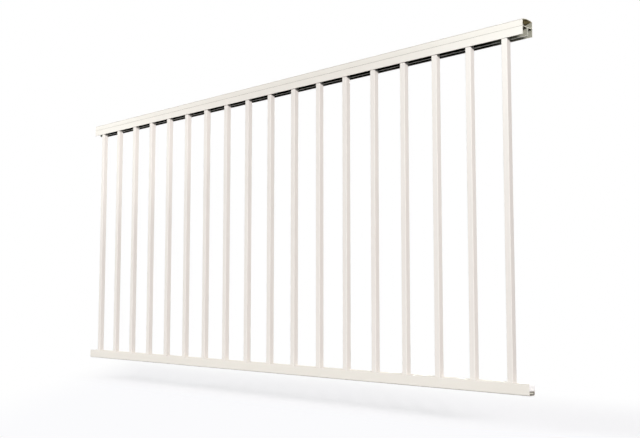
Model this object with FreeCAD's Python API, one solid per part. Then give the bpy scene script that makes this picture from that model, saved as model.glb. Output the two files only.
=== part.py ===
import FreeCAD, Part
import os

# Deck railing section: a two-piece top rail and a bottom rail, both extruded aluminium,
# with hollow square pickets standing in the rails' open channels.
# Frame: X along the rails from the left cut end, Y from the front to the back, Z up.
# The origin is on the bottom rail's left cut end, at mid depth, level with its underside.
# Every size is in millimetres.

# Panel
picket_count = 18
picket_spacing = 101.6
end_gap = 50.8            # from a rail's cut end to the centre of its last picket
section_height = 847.0

# Picket tube
picket_size = 15.2
picket_wall = 1.25
picket_corner = 1.0
picket_clearance = 1.9    # between a picket and each wall of the bottom rail's channel

# Bottom rail: open channel over a hollow base
rail_wall = 1.6
bottom_rail_height = 26.5
bottom_base_height = 11.5
bottom_corner = 3.5
lip_corner = 0.5          # eased top edges of the channel's walls

# Top rail channel: two bays open downwards, the front one holds the pickets
top_rail_depth = 41.3
channel_height = 19.6
bay_width = 19.0
bay_clearance = 0.3       # between a picket and the rail's front wall
middle_wall = 3.2         # between the bays; the back bay takes the depth that is left
web_thickness = 1.6
mouth_corner = 0.5        # eased lower edges of the bays' walls

# Top rail cap: crowned cover that snaps onto the channel
top_rail_height = 38.1
cap_wall = 1.6
crown_rise = 2.0
cap_corner = 4.5
seam_chamfer = 0.5        # on both pieces, where they meet

# Snap between the cap and the channel
rib_reach = 0.8
rib_height = 1.1
rib_lift = 1.5            # from the seam to the rib's underside
leg_thickness = 1.2
barb_height = 1.3
snap_clearance = 0.3      # sideways, at the leg and at the barb
catch_clearance = 0.15    # between the rib's top and the barb's underside

section_length = picket_spacing * (picket_count - 1) + 2 * end_gap
bottom_rail_depth = picket_size + 2 * picket_clearance + 2 * rail_wall
top_front = -picket_size / 2 - bay_clearance - rail_wall
top_back = top_front + top_rail_depth
top_underside = section_height - top_rail_height
seam = top_underside + channel_height
web_bottom = seam - web_thickness
picket_length = web_bottom - bottom_base_height


def line(a, b):
    return Part.LineSegment(FreeCAD.Vector(*a), FreeCAD.Vector(*b)).toShape()


# Closed wire in the YZ plane at the left cut end, through (y, z) points
def outline(points):
    corners = [(0.0, y, z) for y, z in points]
    return Part.Wire([line(a, b) for a, b in zip(corners, corners[1:] + corners[:1])])


def extrude(wire):
    return Part.Face(wire).extrude(FreeCAD.Vector(section_length, 0, 0))


# Edges along X that pass through any of the given (y, z) places
def long_edges(solid, places):
    found = []
    for edge in solid.Edges:
        start = edge.Vertexes[0].Point
        end = edge.Vertexes[-1].Point
        if abs(start.y - end.y) > 1e-6 or abs(start.z - end.z) > 1e-6:
            continue
        if any(abs(start.y - y) < 1e-4 and abs(start.z - z) < 1e-4 for y, z in places):
            found.append(edge)
    return found


def bottom_rail():
    front = -bottom_rail_depth / 2
    back = bottom_rail_depth / 2
    body = extrude(outline([
        (front, 0),
        (back, 0),
        (back, bottom_rail_height),
        (back - rail_wall, bottom_rail_height),
        (back - rail_wall, bottom_base_height),
        (front + rail_wall, bottom_base_height),
        (front + rail_wall, bottom_rail_height),
        (front, bottom_rail_height),
    ]))
    tunnel = extrude(outline([
        (front + rail_wall, rail_wall),
        (back - rail_wall, rail_wall),
        (back - rail_wall, bottom_base_height - rail_wall),
        (front + rail_wall, bottom_base_height - rail_wall),
    ]))
    tunnel_floor = [(front + rail_wall, rail_wall), (back - rail_wall, rail_wall)]
    tunnel = tunnel.makeFillet(bottom_corner - rail_wall, long_edges(tunnel, tunnel_floor))
    body = body.makeFillet(bottom_corner, long_edges(body, [(front, 0), (back, 0)]))
    lips = [(front, bottom_rail_height), (back, bottom_rail_height)]
    body = body.makeFillet(lip_corner, long_edges(body, lips))
    return body.cut(tunnel)


# Walls, middle wall, web and the two barbed legs of the top rail channel
def channel_profile():
    front = top_front
    back = top_back
    front_bay = (front + rail_wall, front + rail_wall + bay_width)
    back_bay = (front_bay[1] + middle_wall, back - rail_wall)
    leg_front = front + cap_wall + rib_reach + snap_clearance
    leg_back = back - cap_wall - rib_reach - snap_clearance
    barb_front = front + cap_wall + snap_clearance
    barb_back = back - cap_wall - snap_clearance
    barb_bottom = seam + rib_lift + rib_height + catch_clearance
    barb_top = barb_bottom + barb_height
    return outline([
        (front, top_underside),
        (front_bay[0], top_underside),
        (front_bay[0], web_bottom),
        (front_bay[1], web_bottom),
        (front_bay[1], top_underside),
        (back_bay[0], top_underside),
        (back_bay[0], web_bottom),
        (back_bay[1], web_bottom),
        (back_bay[1], top_underside),
        (back, top_underside),
        (back, seam - seam_chamfer),
        (back - seam_chamfer, seam),
        (leg_back, seam),
        (leg_back, barb_bottom),
        (barb_back, barb_bottom),
        (leg_back, barb_top),
        (leg_back - leg_thickness, barb_top),
        (leg_back - leg_thickness, seam),
        (leg_front + leg_thickness, seam),
        (leg_front + leg_thickness, barb_top),
        (leg_front, barb_top),
        (barb_front, barb_bottom),
        (leg_front, barb_bottom),
        (leg_front, seam),
        (front + seam_chamfer, seam),
        (front, seam - seam_chamfer),
    ])


def top_rail_channel():
    body = extrude(channel_profile())
    mouths = [(top_front, top_underside), (top_back, top_underside)]
    return body.makeFillet(mouth_corner, long_edges(body, mouths))


# Block along X with an arched top and rounded top corners
def crowned_block(front, back, bottom, shoulder, rise, corner):
    middle = (front + back) / 2
    arch = Part.Arc(
        FreeCAD.Vector(0, back, shoulder),
        FreeCAD.Vector(0, middle, shoulder + rise),
        FreeCAD.Vector(0, front, shoulder),
    ).toShape()
    sides = [
        line((0, front, shoulder), (0, front, bottom)),
        line((0, front, bottom), (0, back, bottom)),
        line((0, back, bottom), (0, back, shoulder)),
    ]
    block = extrude(Part.Wire(sides + [arch]))
    return block.makeFillet(corner, long_edges(block, [(front, shoulder), (back, shoulder)]))


# Catch along the inside of a cap wall; inward is +1 or -1 along Y
def cap_rib(wall, inward):
    low = seam + rib_lift
    tip = wall + inward * rib_reach
    return extrude(outline([
        (wall, low),
        (tip, low + rib_reach / 2),
        (tip, low + rib_height),
        (wall, low + rib_height),
    ]))


def top_rail_cap():
    front = top_front
    back = top_back
    shoulder = section_height - crown_rise
    shell = crowned_block(front, back, seam, shoulder, crown_rise, cap_corner)
    hollow = crowned_block(
        front + cap_wall,
        back - cap_wall,
        seam,
        shoulder - cap_wall,
        crown_rise,
        cap_corner - cap_wall,
    )
    feet = long_edges(shell, [(front, seam), (back, seam)])
    body = shell.makeChamfer(seam_chamfer, feet).cut(hollow)
    ribs = [cap_rib(front + cap_wall, 1), cap_rib(back - cap_wall, -1)]
    return body.fuse(ribs).removeSplitter()


def square_tube(size, wall, corner, length):
    outer = Part.makeBox(size, size, length, FreeCAD.Vector(-size / 2, -size / 2, 0))
    inner_size = size - 2 * wall
    offset = FreeCAD.Vector(-inner_size / 2, -inner_size / 2, 0)
    inner = Part.makeBox(inner_size, inner_size, length, offset)
    upright = [e for e in outer.Edges if abs(e.tangentAt(e.FirstParameter).z) > 0.9]
    return outer.makeFillet(corner, upright).cut(inner)


def picket(index):
    tube = square_tube(picket_size, picket_wall, picket_corner, picket_length)
    x = end_gap + index * picket_spacing
    tube.translate(FreeCAD.Vector(x, 0, bottom_base_height))
    return tube


def write(name, shape):
    solids = shape.Solids
    shape = solids[0] if len(solids) == 1 else shape
    shape.exportStep(f"parts/{name}.step")
    print(name, len(solids), "solid", round(shape.Volume), "mm3")


os.makedirs("parts", exist_ok=True)
write("bottom_rail", bottom_rail())
write("top_rail_channel", top_rail_channel())
write("top_rail_cap", top_rail_cap())
for index in range(picket_count):
    write(f"picket_{index + 1:02d}", picket(index))
print("length", section_length, "picket length", picket_length)
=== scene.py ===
import math
from types import SimpleNamespace

import bmesh
import bpy
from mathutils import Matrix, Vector


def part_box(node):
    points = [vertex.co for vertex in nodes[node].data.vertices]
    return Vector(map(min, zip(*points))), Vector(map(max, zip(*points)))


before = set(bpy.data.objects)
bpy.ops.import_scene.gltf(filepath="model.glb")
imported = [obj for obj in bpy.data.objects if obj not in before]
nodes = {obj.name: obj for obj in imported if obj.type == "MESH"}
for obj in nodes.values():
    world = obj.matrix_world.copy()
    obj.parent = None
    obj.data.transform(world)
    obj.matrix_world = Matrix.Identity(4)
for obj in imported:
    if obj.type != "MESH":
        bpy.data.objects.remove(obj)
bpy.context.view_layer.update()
railLow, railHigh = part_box("bottom_rail")
channelLow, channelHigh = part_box("top_rail_channel")
capLow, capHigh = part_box("top_rail_cap")
seam = capLow.z
print("frame loaded,", len(nodes), "pieces")


# a shader socket that takes part in Python sums; each sign adds its Math node
class Socket:
    def __init__(self, tree, socket):
        self.tree = tree
        self.socket = socket

    def sum(self, operation, *terms):
        settings = {"operation": operation}
        return self.tree.add("ShaderNodeMath", settings, dict(enumerate(terms)))[0]

    def __add__(self, other):
        return self.sum("ADD", self, other)

    def __radd__(self, other):
        return self.sum("ADD", other, self)

    def __sub__(self, other):
        return self.sum("SUBTRACT", self, other)

    def __rsub__(self, other):
        return self.sum("SUBTRACT", other, self)

    def __mul__(self, other):
        return self.sum("MULTIPLY", self, other)

    def __rmul__(self, other):
        return self.sum("MULTIPLY", other, self)

    def __abs__(self):
        return self.sum("ABSOLUTE", self)

    def __gt__(self, other):
        return self.sum("GREATER_THAN", self, other)

    def __lt__(self, other):
        return self.sum("LESS_THAN", self, other)

    def least(self, other):
        return self.sum("MINIMUM", self, other)

    def most(self, other):
        return self.sum("MAXIMUM", self, other)


# the nodes of one material or of the world
class Shader:
    def __init__(self, tree):
        self.tree = tree
        tree.nodes.clear()

    # any node: its type, its settings, then a value or a link for each socket
    def add(self, kind, settings=None, sockets=None):
        node = self.tree.nodes.new(kind)
        for name, value in (settings or {}).items():
            setattr(node, name, value)
        for name, value in (sockets or {}).items():
            place = self.find(node.inputs, name)
            if isinstance(value, Socket):
                self.tree.links.new(value.socket, place)
            else:
                place.default_value = value
        return [Socket(self, s) for s in node.outputs if s.enabled]

    def find(self, sockets, name):
        if isinstance(name, int):
            return sockets[name]
        return next(s for s in sockets if s.enabled and s.name == name)

    def split(self, vector):
        return self.add("ShaderNodeSeparateXYZ", None, {0: vector})

    def stretch(self, place, scale):
        settings = {"operation": "MULTIPLY"}
        return self.add("ShaderNodeVectorMath", settings, {0: place, 1: scale})[0]

    # scale is in cells to the metre
    def noise(self, place, scale, detail=2.0, roughness=0.5):
        return self.add(
            "ShaderNodeTexNoise",
            {"noise_dimensions": "3D"},
            {"Vector": place, "Scale": scale, "Detail": detail, "Roughness": roughness},
        )[0]

    def mixColour(self, factor, first, second, blend="MIX"):
        return self.add(
            "ShaderNodeMix",
            {"data_type": "RGBA", "blend_type": blend},
            {"Factor": factor, "A": first, "B": second},
        )[0]

    def tinted(self, colour, tint):
        return self.mixColour(1.0, colour, tint, "MULTIPLY")

    def mixValue(self, factor, first, second):
        settings = {"data_type": "FLOAT"}
        return self.add("ShaderNodeMix", settings, {"Factor": factor, "A": first, "B": second})[0]

    def mixShader(self, factor, first, second):
        return self.add("ShaderNodeMixShader", None, {0: factor, 1: first, 2: second})[0]

    def addShader(self, first, second):
        return self.add("ShaderNodeAddShader", None, {0: first, 1: second})[0]

    def diffuse(self, colour):
        return self.add("ShaderNodeBsdfDiffuse", None, {"Color": colour})[0]

    def emission(self, colour, strength=1.0):
        sockets = {"Color": colour, "Strength": strength}
        return self.add("ShaderNodeEmission", None, sockets)[0]

    def bump(self, height):
        sockets = {"Strength": 1.0, "Distance": 1.0, "Height": height}
        return self.add("ShaderNodeBump", None, sockets)[0]

    # 0 below low, 1 above high, even in between
    def step(self, value, low, high):
        return self.add(
            "ShaderNodeMapRange",
            {"clamp": True, "interpolation_type": "SMOOTHSTEP"},
            {"Value": value, "From Min": low, "From Max": high, "To Min": 0.0, "To Max": 1.0},
        )[0]

    # 1 for camera, glossy and transmission rays
    def seenRays(self):
        path = self.add("ShaderNodeLightPath")
        return path[0].most(path[3]).most(path[6])


white = (1, 1, 1, 1)
black = (0, 0, 0, 1)
facing = {"down": -0.5, "endOn": 0.7}        # how square to an axis a face stands

# powder coat over an extrusion; a noise is its cells to the metre, detail and roughness
coating = {
    "colour": (0.832, 0.803, 0.738, 1),
    "shade": (0.815, 0.785, 0.718, 1),       # where its tone drifts to
    "drift": (3.2, 3.0),
    "driftRange": (0.35, 0.65),
    "mottle": 0.05,                          # share of the peel's two tones over it
    "mottleTones": ((0.7, 0.68, 0.64, 1), (1, 0.99, 0.96, 1)),
    "browShade": (0.79, 0.79, 0.78, 1),           # painted shade on roundings that turn up
    "browShadeRange": (0.08, 0.30),
    "topShade": (0.90, 0.90, 0.89, 1),           # painted shade on faces that look up
    "topShadeRange": (0.80, 0.97),
    "grooveShade": (0.78, 0.78, 0.77, 1),         # painted shade in the joint between channel and cap
    "grooveShadeReach": 0.00055,
    "lipShade": (0.55, 0.53, 0.50, 1),            # painted shade on the channel's lower lips
    "paleLight": (0.95, 0.945, 0.935, 1),         # painted light in the bottom rail's open right end
    "roughness": 0.42,
    "roughnessDrift": 0.08,
    "roughnessGrain": 0.05,
    "shine": 0.25,
    "peel": (520, 2.0, 0.45),                # orange peel
    "peelDepth": 0.00003,
    "grain": (2600, 1.0),
    "grainDepth": 0.000006,
    "draw": (700, 4.0, 0.62),                # die lines
    "drawStretch": 0.012,                    # of the same, along the draw
    "drawDepth": 0.000005,
}

# the metal where it was sawn, or where the powder did not reach
bareMetal = {
    "sawn": (0.84, 0.83, 0.73, 1),
    "sawnDark": (0.72, 0.71, 0.61, 1),
    "stem": (0.72, 0.74, 0.74, 1),           # on the sawn end of the channel's middle wall
    "inside": (0.52, 0.525, 0.43, 1),
    "insideDark": (0.43, 0.435, 0.35, 1),
    "deepShade": (0.07, 0.07, 0.065, 1),          # painted shade on the hollows, away from the cut ends
    "deepShadeRange": (0.05, 0.12),
    "deepShadeLeft": 3.0,                         # how many times sooner behind the left ends
    "metallic": 0.25,                        # of the sawn ends
    "roughness": 0.50,
    "roughnessSaw": 0.16,
    "shine": 0.0,
    "saw": (1500, 3.0, 0.7),                 # saw marks
    "sawStretch": 0.06,
    "sawDepth": 0.00003,
    "drawDepth": 0.00002,
}


# where a point of the surface lies, which way it faces, and the noises there
def surfacePoint(s, along):
    place = s.add("ShaderNodeTexCoord")[3]
    normal = s.add("ShaderNodeNewGeometry")[1]
    x, y, z = s.split(place)
    nx, ny, nz = s.split(normal)
    long = coating["drawStretch"]
    drawn = s.stretch(place, (long, 1, 1) if along == "x" else (1, 1, long))
    return SimpleNamespace(
        place=place, x=x, y=y, z=z, nx=nx, ny=ny, nz=nz,
        slow=s.noise(place, *coating["drift"]),
        peel=s.noise(place, *coating["peel"]),
        grain=s.noise(place, *coating["grain"]),
        draw=s.noise(drawn, *coating["draw"]),
    )


# 1 inside the rails, away from their cut ends, where painted shade goes
def deepShadeInside(s, at):
    left = bareMetal["deepShadeLeft"] * (at.x - railLow.x)
    return s.step(left.least(railHigh.x - at.x), *bareMetal["deepShadeRange"])


def coatSurface(s, at, tint, seam, deepShade, shadeLips, paleLightAt):
    coat = s.mixColour(s.step(at.slow, *coating["driftRange"]), coating["colour"], coating["shade"])
    coat = s.mixColour(coating["mottle"], coat, s.mixColour(at.peel, *coating["mottleTones"]))
    coat = s.tinted(coat, tint)
    # painted shade on roundings that turn up
    browShaded = s.tinted(coat, coating["browShade"])
    # painted shade on faces that look up
    topShaded = s.tinted(coat, coating["topShade"])
    coat = s.mixColour(s.step(at.nz, *coating["browShadeRange"]), coat, browShaded)
    coat = s.mixColour(s.step(at.nz, *coating["topShadeRange"]), coat, topShaded)
    # painted shade in the joint between channel and cap
    if seam is not None:
        inShadedGroove = abs(at.z - seam) < coating["grooveShadeReach"]
        coat = s.mixColour(inShadedGroove, coat, s.tinted(coat, coating["grooveShade"]))
    # painted light near the bottom rail's open right end
    if paleLightAt:
        coat = s.mixColour(paleLightAt(s, at), coat, coating["paleLight"])
    # painted shade on the lower lips, away from the cut ends
    if shadeLips:
        onShadedLip = (at.nz < facing["down"]) * deepShade
        coat = s.mixColour(onShadedLip, coat, s.tinted(coat, coating["lipShade"]))
    rough = coating["roughness"] + coating["roughnessDrift"] * (at.slow - 0.5)
    height = at.peel * coating["peelDepth"] + at.grain * coating["grainDepth"]
    return s.add(
        "ShaderNodeBsdfPrincipled",
        None,
        {
            "Base Color": coat,
            "Roughness": rough + coating["roughnessGrain"] * (at.grain - 0.5),
            "Normal": s.bump(height + at.draw * coating["drawDepth"]),
            "Specular IOR Level": coating["shine"],
        },
    )[0]


def metalSurface(s, at, ends, hollowLightAndShade, deepShade, stemAt):
    scratch = s.noise(s.stretch(at.place, (1, bareMetal["sawStretch"], 1)), *bareMetal["saw"])
    sawn = s.mixColour(scratch, bareMetal["sawnDark"], bareMetal["sawn"])
    if stemAt:
        sawn = s.mixColour(stemAt(at), sawn, s.tinted(sawn, bareMetal["stem"]))
    inside = s.mixColour(at.draw, bareMetal["insideDark"], bareMetal["inside"])
    inside = s.tinted(inside, hollowLightAndShade)
    # painted shade on the hollows, away from the cut ends
    inside = s.mixColour(deepShade, inside, s.tinted(inside, bareMetal["deepShade"]))
    height = scratch * bareMetal["sawDepth"] * ends + at.draw * bareMetal["drawDepth"]
    return s.add(
        "ShaderNodeBsdfPrincipled",
        None,
        {
            "Base Color": s.mixColour(ends, inside, sawn),
            "Metallic": ends * bareMetal["metallic"],
            "Roughness": bareMetal["roughness"] + bareMetal["roughnessSaw"] * (scratch - 0.5),
            "Normal": s.bump(height),
            "Specular IOR Level": bareMetal["shine"],
        },
    )[0]


# a coat over metal drawn along an axis; bareInside gives 1 where the inner faces are bare, and
# their tint there, which holds painted shade and painted light; seam, lips and paleLightAt say
# where the coat gets painted shade or painted light, and stemAt where sawn metal has its own tone
def coatedMetal(
    name, tint, along, bareInside=None, sawnEnds=False,
    seam=None, shadeLips=False, paleLightAt=None, stemAt=None,
):
    material = bpy.data.materials.new(name)
    material.use_nodes = True
    s = Shader(material.node_tree)
    at = surfacePoint(s, along)
    deepShade = deepShadeInside(s, at) if bareInside else None
    surface = coatSurface(s, at, tint, seam, deepShade, shadeLips, paleLightAt)
    if bareInside:
        bare, hollowLightAndShade = bareInside(s, at)
        bare = bare * (abs(at.nx) < facing["endOn"])
        ends = 0.0
        if sawnEnds:
            atEnds = (at.x < railLow.x + rails["cut"]) + (at.x > railHigh.x - rails["cut"])
            ends = atEnds * (abs(at.nx) > facing["endOn"])
        metal = metalSurface(s, at, ends, hollowLightAndShade, deepShade, stemAt)
        surface = s.mixShader(bare.most(ends), surface, metal)
    s.add("ShaderNodeOutputMaterial", None, {"Surface": surface})
    return material


def dress(name, material):
    for slot in nodes[name].material_slots:
        slot.material = material


# rails: painted outside, bare in the hollows; the coat reaches a little way past each lip
rails = {
    "bottomTint": (1, 1, 0.992, 1),
    "channelTint": white,
    "capTint": (1, 0.999, 0.996, 1),
    "skin": 0.0003,                          # how far from an outer face still counts as that face
    "cut": 0.00005,                          # the same, from a sawn end
    "wall": 0.0016,
    "web": 0.0018,                           # the channel's web, and a little below it
    "spray": 0.0008,                         # how far the powder reached up into an open bay
    "sprayRange": (0.4, 1.2),                # share of it everywhere, and share that drifts
    "sprayEdge": 0.0003,
    "wallTint": white,
    # painted shade on the roofs of the channel's bays
    "bayRoofShade": (0.35, 0.31, 0.28, 1),
    # painted light on the roof of the cap's hollow
    "capRoofLight": (1.45, 1.22, 0.95, 1),
    "baseTop": 0.0084,                       # the powder reached down to here in the bottom hollow
    "baseHighlight": (1.85, 1.82, 1.95, 1),       # painted highlight in the middle of the hollow's wall, near its mouth
    "baseShade": (0.22, 0.20, 0.20, 1),      # painted shade around that
    "baseMiddle": (0.0075, 0.0046),          # from the cut end, above the underside
    "baseGlint": (0.0012, 0.0026),           # its edge, from the middle up or down
    "baseSlim": 0.35,                        # and how much slimmer it is than long
    "paleLightReach": 0.0195,                     # painted light, along the rail from its right end
    "paleLightFloor": 0.0104,                     # just below the floor of the open channel
}


def channelInside(s, at):
    outer = (at.y < channelLow.y + rails["skin"]) + (at.y > channelHigh.y - rails["skin"])
    steady, drifting = rails["sprayRange"]
    reach = channelLow.z + rails["spray"] * (steady + drifting * at.slow)
    sprayed = s.step(reach - at.z, -rails["sprayEdge"], rails["sprayEdge"])
    # painted shade on the roofs of the bays
    tint = s.mixColour(at.nz < facing["down"], rails["wallTint"], rails["bayRoofShade"])
    return 1 - outer.most(sprayed).least(1.0), tint


def capInside(s, at):
    middle = (capLow + capHigh) / 2
    # painted light on the roof of the cap's hollow
    tint = s.mixColour(at.nz < facing["down"], rails["wallTint"], rails["capRoofLight"])
    return at.ny * (at.y - middle.y) + at.nz * (at.z - middle.z) < 0, tint


def baseInside(s, at):
    inDepth = abs(at.y) < railHigh.y - rails["wall"] + rails["skin"]
    floorZ = railLow.z + rails["wall"] - rails["skin"]
    inHeight = (at.z < railLow.z + rails["baseTop"]) * (at.z > floorZ)
    along, up = rails["baseMiddle"]
    sideways = rails["baseSlim"] * abs(at.x - (railHigh.x - along))
    away = abs(at.z - (railLow.z + up)).most(sideways)
    # painted highlight in the middle of the hollow's wall, painted shade around it
    tint = s.mixColour(s.step(away, *rails["baseGlint"]), rails["baseHighlight"], rails["baseShade"])
    return inDepth * inHeight, tint


def middleWallEnd(at):
    inDepth = (at.y > channelLow.y + 2 * rails["wall"]) * (at.y < channelHigh.y - 2 * rails["wall"])
    return inDepth * (at.z < seam - rails["web"])


# where the bottom rail's open right end gets painted light
def channelMouthLight(s, at):
    inDepth = (at.y > railLow.y + rails["skin"]) * (at.y < railHigh.y - rails["skin"])
    inHeight = at.z > railLow.z + rails["paleLightFloor"]
    return (at.x > railHigh.x - rails["paleLightReach"]) * inDepth * inHeight


bottomCoat = coatedMetal(
    "bottomRailCoat", rails["bottomTint"], "x", baseInside, paleLightAt=channelMouthLight
)
channelCoat = coatedMetal(
    "topChannelCoat", rails["channelTint"], "x", channelInside,
    sawnEnds=True, seam=seam, shadeLips=True, stemAt=middleWallEnd,
)
capCoat = coatedMetal(
    "topCapCoat", rails["capTint"], "x", capInside, sawnEnds=True, seam=seam
)
dress("bottom_rail", bottomCoat)
dress("top_rail_channel", channelCoat)
dress("top_rail_cap", capCoat)
print("rails dressed")

pickets = {"tint": (1, 0.993, 1.01, 1)}      # a shade cooler than the rails
picketCoat = coatedMetal("picketCoat", pickets["tint"], "z")
for name in nodes:
    if name.startswith("picket"):
        dress(name, picketCoat)
print("pickets dressed")

# floor: white to the eye with the section's shadow on it, dark to the light that bounces
floor = {
    "drop": 0.112,                           # below the bottom rail's underside
    "radius": 14.0,
    "sides": 96,
    "colour": (0.545, 0.553, 0.577, 1),
    "patch": (0.55, 0.55, 0.562, 1),
    "patchScale": 1.5,
    "glow": 0.60,
    "glowColour": (0.99, 0.99, 1.0, 1),
    "bounce": (0.02, 0.02, 0.02, 1),
    "strip": 0.2,                            # light that comes back from right under the section
    "stripReach": 0.10,
    "fadeRange": (0.45, 1.1),                # white from here to there, metres behind the section
    "sideRange": (-0.30, 0.10),              # and past its left end, across the view
    "clear": (0.966, 0.966, 0.982, 1),       # in front, where no shadow falls
    "clearRange": (0.07, 0.24),
    "clearBend": 0.57,                       # right of the middle; from there on the shadow
    "clearTurn": 0.36,                       # runs back this far to the metre
}


def floorPaint(s):
    half = (railHigh.x - railLow.x) / 2
    place = s.add("ShaderNodeTexCoord")[3]
    x, y = s.split(place)[:2]
    patchy = s.noise(place, floor["patchScale"])
    lit = s.diffuse(s.mixColour(patchy, floor["colour"], floor["patch"]))
    near = s.addShader(lit, s.emission(floor["glowColour"], floor["glow"]))
    behind = y - floor["clearTurn"] * (x - floor["clearBend"]).most(0.0)
    shaded = s.step(behind, *floor["clearRange"])
    near = s.mixShader(shaded, s.emission(floor["clear"]), near)
    beside = 1 - s.step((x + half + y) * math.sqrt(0.5), *floor["sideRange"])
    far = s.step(y, *floor["fadeRange"]).most(beside)
    seen = s.mixShader(far, near, s.emission(white))

    dark = s.diffuse(floor["bounce"])
    under = (abs(y) < floor["stripReach"]) * (abs(x) < half)
    dark = s.mixShader(under, dark, s.addShader(dark, s.emission(white, floor["strip"])))
    surface = s.mixShader(s.seenRays(), dark, seen)
    s.add("ShaderNodeOutputMaterial", None, {"Surface": surface})


def layFloor():
    mesh = bpy.data.meshes.new("studioFloor")
    made = bmesh.new()
    bmesh.ops.create_circle(
        made, cap_ends=True, segments=floor["sides"], radius=floor["radius"]
    )
    made.to_mesh(mesh)
    made.free()
    piece = bpy.data.objects.new("studioFloor", mesh)
    bpy.context.scene.collection.objects.link(piece)
    piece.location = ((railLow.x + railHigh.x) / 2, 0, railLow.z - floor["drop"])
    material = bpy.data.materials.new("studioFloorPaint")
    material.use_nodes = True
    floorPaint(Shader(material.node_tree))
    mesh.materials.append(material)


layFloor()
print("floor laid")

# studio: a low key from the right, a band of soft light and a fill from the front left, a lamp
# behind, a spot on the upper left corner and a small lamp near each end of the top rail; the
# places marked as directions point from the section to the lamp
studio = {
    "band": 1.0,
    "bandColour": (0.97, 1.01, 1.015, 1),
    "bandBack": 0.3,                         # share of it at the back and on the key's side
    "bandTowards": (-0.45, -0.89),           # direction
    "bandTurn": (0.1, 0.7),
    "bandFoot": (0.05, 0.14),                # heights of its lower and upper edges, as sines
    "bandHead": (0.34, 0.45),
    "key": 3.12,
    "keyTurns": (44, 50, 56),                # a row of lamps; degrees from straight in front
    "keyRise": 14,
    "keyColour": (1.0, 0.955, 0.965),
    "keySoftness": 5,
    "fill": 0.71,
    "fillTowards": (-0.342, -0.94, 0.279),   # direction
    "fillColour": (0.96, 1.0, 1.01),
    "fillSoftness": 14,
    "back": 2.5,
    "backTowards": (-0.48, 0.84, 0.25),      # direction
    "backColour": (1.0, 0.985, 0.955),
    "backSoftness": 24,
    "spot": 74.0,
    "spotPlace": (3.2, -1.0, 0.82),
    "spotOn": (-0.17, 0.0, 0.78),
    "spotCone": 14,
    "spotColour": (1.0, 0.985, 0.97),
    "spotSize": 0.05,
    "left": 0.73,
    "leftIn": 0.12,                          # from the rail's end towards its middle
    "right": 0.92,
    "endColour": (0.91, 1.0, 1.0),
    "endSize": 0.06,
    "endOut": 0.31,                          # in front of the rail
    "endHeight": 0.80,
}


def lightWorld():
    world = bpy.data.worlds.new("studio")
    bpy.context.scene.world = world
    world.use_nodes = True
    s = Shader(world.node_tree)
    x, y, z = s.split(s.add("ShaderNodeTexCoord")[0])
    band = s.step(z, *studio["bandFoot"]) * (1 - s.step(z, *studio["bandHead"]))
    towards = x * studio["bandTowards"][0] + y * studio["bandTowards"][1]
    around = s.mixValue(s.step(towards, *studio["bandTurn"]), studio["bandBack"], 1.0)
    colour = s.mixColour(band * around, black, studio["bandColour"])
    sockets = {"Color": colour, "Strength": studio["band"]}
    soft = s.add("ShaderNodeBackground", None, sockets)[0]
    plain = s.add("ShaderNodeBackground", None, {"Color": white, "Strength": 1.0})[0]
    surface = s.mixShader(s.seenRays(), soft, plain)
    s.add("ShaderNodeOutputWorld", None, {"Surface": surface})


# softness is degrees for a sun, and metres across for another lamp
def hang(name, kind, strength, colour, softness):
    lamp = bpy.data.lights.new(name, kind)
    lamp.energy = strength
    lamp.color = colour
    if kind == "SUN":
        lamp.angle = math.radians(softness)
    else:
        lamp.shadow_soft_size = softness
    piece = bpy.data.objects.new(name, lamp)
    bpy.context.scene.collection.objects.link(piece)
    return piece


def aim(piece, towards):
    piece.rotation_euler = Vector(towards).to_track_quat("-Z", "Y").to_euler()


def hangKey():
    rise = math.radians(studio["keyRise"])
    strength = studio["key"] / len(studio["keyTurns"])
    for degrees in studio["keyTurns"]:
        turn = math.radians(degrees)
        name = f"keyLamp{degrees}"
        lamp = hang(name, "SUN", strength, studio["keyColour"], studio["keySoftness"])
        aim(lamp, (-math.sin(turn), math.cos(turn), -math.tan(rise)))


def hangSpot():
    lamp = hang("spotLamp", "SPOT", studio["spot"], studio["spotColour"], studio["spotSize"])
    lamp.data.spot_size = math.radians(studio["spotCone"])
    lamp.data.spot_blend = 1.0
    lamp.location = studio["spotPlace"]
    aim(lamp, Vector(studio["spotOn"]) - Vector(studio["spotPlace"]))


lightWorld()
hangKey()
for side in ("fill", "back"):
    colour, softness = studio[side + "Colour"], studio[side + "Softness"]
    lamp = hang(side + "Lamp", "SUN", studio[side], colour, softness)
    aim(lamp, -Vector(studio[side + "Towards"]))
hangSpot()
for side, x in (("left", channelLow.x + studio["leftIn"]), ("right", channelHigh.x)):
    lamp = hang(side + "Lamp", "POINT", studio[side], studio["endColour"], studio["endSize"])
    lamp.location = (x, channelLow.y - studio["endOut"], studio["endHeight"])
print("lamps placed")

# the photograph's camera
view = {
    "place": (2.9129, -1.7303, 0.2159),
    "turn": 45.214,
    "tilt": 4.979,
    "lens": 50.43,
    "sensor": 36,
}
camera = bpy.data.cameras.new("photoCamera")
camera.lens = view["lens"]
camera.sensor_width = view["sensor"]
camera.sensor_fit = "HORIZONTAL"
cameraPiece = bpy.data.objects.new("photoCamera", camera)
bpy.context.scene.collection.objects.link(cameraPiece)
cameraPiece.location = view["place"]
cameraPiece.rotation_euler = (math.radians(90 + view["tilt"]), 0, math.radians(view["turn"]))
bpy.context.scene.camera = cameraPiece
bpy.context.scene.view_settings.view_transform = "Standard"
